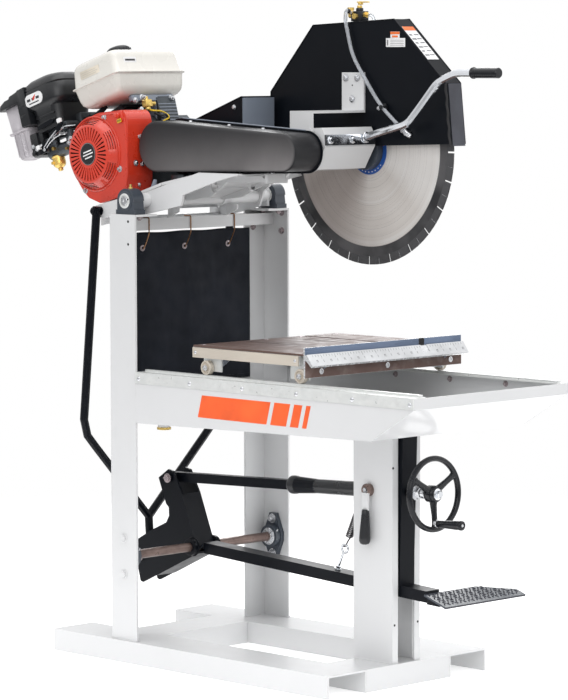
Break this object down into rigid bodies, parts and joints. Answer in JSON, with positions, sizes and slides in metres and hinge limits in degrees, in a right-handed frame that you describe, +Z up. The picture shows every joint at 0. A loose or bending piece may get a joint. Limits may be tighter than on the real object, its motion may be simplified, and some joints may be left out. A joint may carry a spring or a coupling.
{
  "type": "masonry saw",
  "caption": "Pedal-operated masonry saw: pivoting engine-driven guarded blade over a rolling cart and water tray on a welded stand.",
  "frame": {"origin": "middle of the bounding box, on the floor", "axes": "+Z up, +X to the operator (tray lip and pedal), blade turns about Y"},
  "size_m": [1.6532, 0.6014, 1.7825],
  "materials": {
    "white_paint": "glossy white powder coat",
    "black_paint": "glossy black paint",
    "dark_cast": "dark grey painted casting",
    "galvanised": "dull zinc plating with fine drawn grain",
    "bright_steel": "ground bare steel",
    "brown_steel": "oiled dark steel",
    "chrome": "bright plating",
    "red_paint": "glossy red enamel",
    "cream_paint": "glossy off-white enamel",
    "black_plastic": "moulded black plastic",
    "milky_plastic": "translucent moulded bowl",
    "rubber": "matt black rubber",
    "black_cloth": "rubberised black cloth",
    "brass": "bright brass",
    "clear_vinyl": "clear vinyl tube",
    "engine_alloy": "die cast alloy"
  },
  "bodies": {
    "stand": {"base_near_channel": "white_paint", "base_far_channel": "white_paint", "base_front_crossmember": "white_paint", "base_rear_crossmember": "white_paint", "near_leg": "white_paint", "far_leg": "white_paint", "pivot_block_near": "dark_cast", "pivot_block_far": "dark_cast", "flange_bearing_near": "dark_cast", "flange_bearing_far": "dark_cast", "top_rail": "white_paint", "curtain": "black_cloth", "curtain_hook_near": "bright_steel", "curtain_hook_mid": "bright_steel", "curtain_hook_far": "bright_steel", "water_tray": "white_paint", "near_rail": "galvanised", "far_rail": "galvanised", "front_column": "white_paint", "return_spring": "bright_steel"},
    "lock_lever": {"lock_lever": "black_plastic"},
    "head": {"swing_arm": "white_paint", "pivot_shaft": "bright_steel", "arbor_housing": "white_paint", "belt_guard": "black_paint", "drive_cover": "black_paint", "blade_guard": "black_paint", "guard_bracket": "white_paint", "lift_handle": "chrome", "handle_grip": "rubber", "water_valve": "brass", "water_hose": "clear_vinyl", "fan_shroud": "red_paint", "recoil_cover": "red_paint", "engine_block": "engine_alloy", "fuel_tank": "cream_paint", "air_cleaner": "black_plastic", "precleaner_bowl": "milky_plastic", "carburettor": "brass"},
    "fuel_cap": {"fuel_cap": "black_plastic"},
    "valve_lever": {"valve_lever": "brass"},
    "spindle": {"blade": "bright_steel", "arbor_shaft": "dark_cast", "outer_flange": "dark_cast"},
    "jackshaft": {"jackshaft": "dark_cast"},
    "cart": {"cart_frame": "galvanised", "cart_deck": "brown_steel", "fence": "bright_steel"},
    "cart_wheel_rear_near": {"cart_wheel_rear_near": "bright_steel"},
    "cart_wheel_rear_far": {"cart_wheel_rear_far": "bright_steel"},
    "cart_wheel_front_near": {"cart_wheel_front_near": "bright_steel"},
    "cart_wheel_front_far": {"cart_wheel_front_far": "bright_steel"},
    "pedal": {"bell_crank": "black_paint", "lower_shaft": "brown_steel", "pedal_arm": "black_paint", "foot_plate": "dark_cast", "screw_link": "black_paint"},
    "handwheel": {"handwheel": "black_paint"},
    "crank_grip": {"crank_grip": "black_plastic"},
    "yoke": {"lifting_yoke": "black_paint"}
  },
  "joints": [
    {"name": "head_tilt", "type": "hinge", "parent": "stand", "child": "head", "pos_m": [-0.23976, 0, 1.251], "axis": [0, 1, 0], "range_deg": [0, 16.6]},
    {"name": "pedal_pivot", "type": "hinge", "parent": "stand", "child": "pedal", "pos_m": [-0.24726, 0, 0.289], "axis": [0, 1, 0], "range_deg": [0, 12], "deforming": ["return_spring"]},
    {"name": "yoke_swing", "type": "hinge", "parent": "head", "child": "yoke", "pos_m": [-0.39126, 0, 1.218], "axis": [0, 1, 0], "range_deg": [-16.6, 0]},
    {"name": "blade_spin", "type": "hinge", "parent": "head", "child": "spindle", "pos_m": [0.25904, 0.14, 1.3871], "axis": [0, 1, 0], "continuous": true},
    {"name": "jackshaft_spin", "type": "hinge", "parent": "head", "child": "jackshaft", "pos_m": [-0.22326, 0, 1.395], "axis": [0, 1, 0], "continuous": true},
    {"name": "fuel_cap_turn", "type": "hinge", "parent": "head", "child": "fuel_cap", "pos_m": [-0.48625, -0.08, 1.63722], "axis": [-0.2924, 0, 0.9563], "range_deg": [0, 90]},
    {"name": "water_valve_turn", "type": "hinge", "parent": "head", "child": "valve_lever", "pos_m": [0.22574, 0.14, 1.775], "axis": [0, 0, 1], "range_deg": [0, 90]},
    {"name": "cart_slide", "type": "slide", "parent": "stand", "child": "cart", "axis": [1, 0, 0], "range_m": [-0.17, 0.34]},
    {"name": "wheel_rear_near_roll", "type": "hinge", "parent": "cart", "child": "cart_wheel_rear_near", "pos_m": [0.05274, -0.262, 0.81865], "axis": [0, 1, 0], "range_deg": [-600, 1100]},
    {"name": "wheel_rear_far_roll", "type": "hinge", "parent": "cart", "child": "cart_wheel_rear_far", "pos_m": [0.05274, 0.262, 0.81865], "axis": [0, 1, 0], "range_deg": [-600, 1100]},
    {"name": "wheel_front_near_roll", "type": "hinge", "parent": "cart", "child": "cart_wheel_front_near", "pos_m": [0.40274, -0.262, 0.81865], "axis": [0, 1, 0], "range_deg": [-600, 1100]},
    {"name": "wheel_front_far_roll", "type": "hinge", "parent": "cart", "child": "cart_wheel_front_far", "pos_m": [0.40274, 0.262, 0.81865], "axis": [0, 1, 0], "range_deg": [-600, 1100]},
    {"name": "handwheel_turn", "type": "hinge", "parent": "pedal", "child": "handwheel", "pos_m": [0.62474, 0, 0.51], "axis": [0.9992, 0, 0.0393], "continuous": true},
    {"name": "crank_grip_spin", "type": "hinge", "parent": "handwheel", "child": "crank_grip", "pos_m": [0.62776, 0, 0.43306], "axis": [0.9992, 0, 0.0393], "continuous": true},
    {"name": "lock_lever_turn", "type": "hinge", "parent": "stand", "child": "lock_lever", "pos_m": [0.44374, -0.06, 0.51], "axis": [0, 1, 0], "range_deg": [-90, 0]}
  ],
  "couplings": [
    {"joint": "pedal_pivot", "follows": "head_tilt", "ratio": 0.7211},
    {"joint": "yoke_swing", "follows": "head_tilt", "ratio": -0.9925},
    {"joint": "jackshaft_spin", "follows": "blade_spin", "ratio": 0.6923},
    {"joint": "wheel_rear_near_roll", "follows": "cart_slide", "rad_per_m": 52.632},
    {"joint": "wheel_rear_far_roll", "follows": "cart_slide", "rad_per_m": 52.632},
    {"joint": "wheel_front_near_roll", "follows": "cart_slide", "rad_per_m": 52.632},
    {"joint": "wheel_front_far_roll", "follows": "cart_slide", "rad_per_m": 52.632}
  ]
}
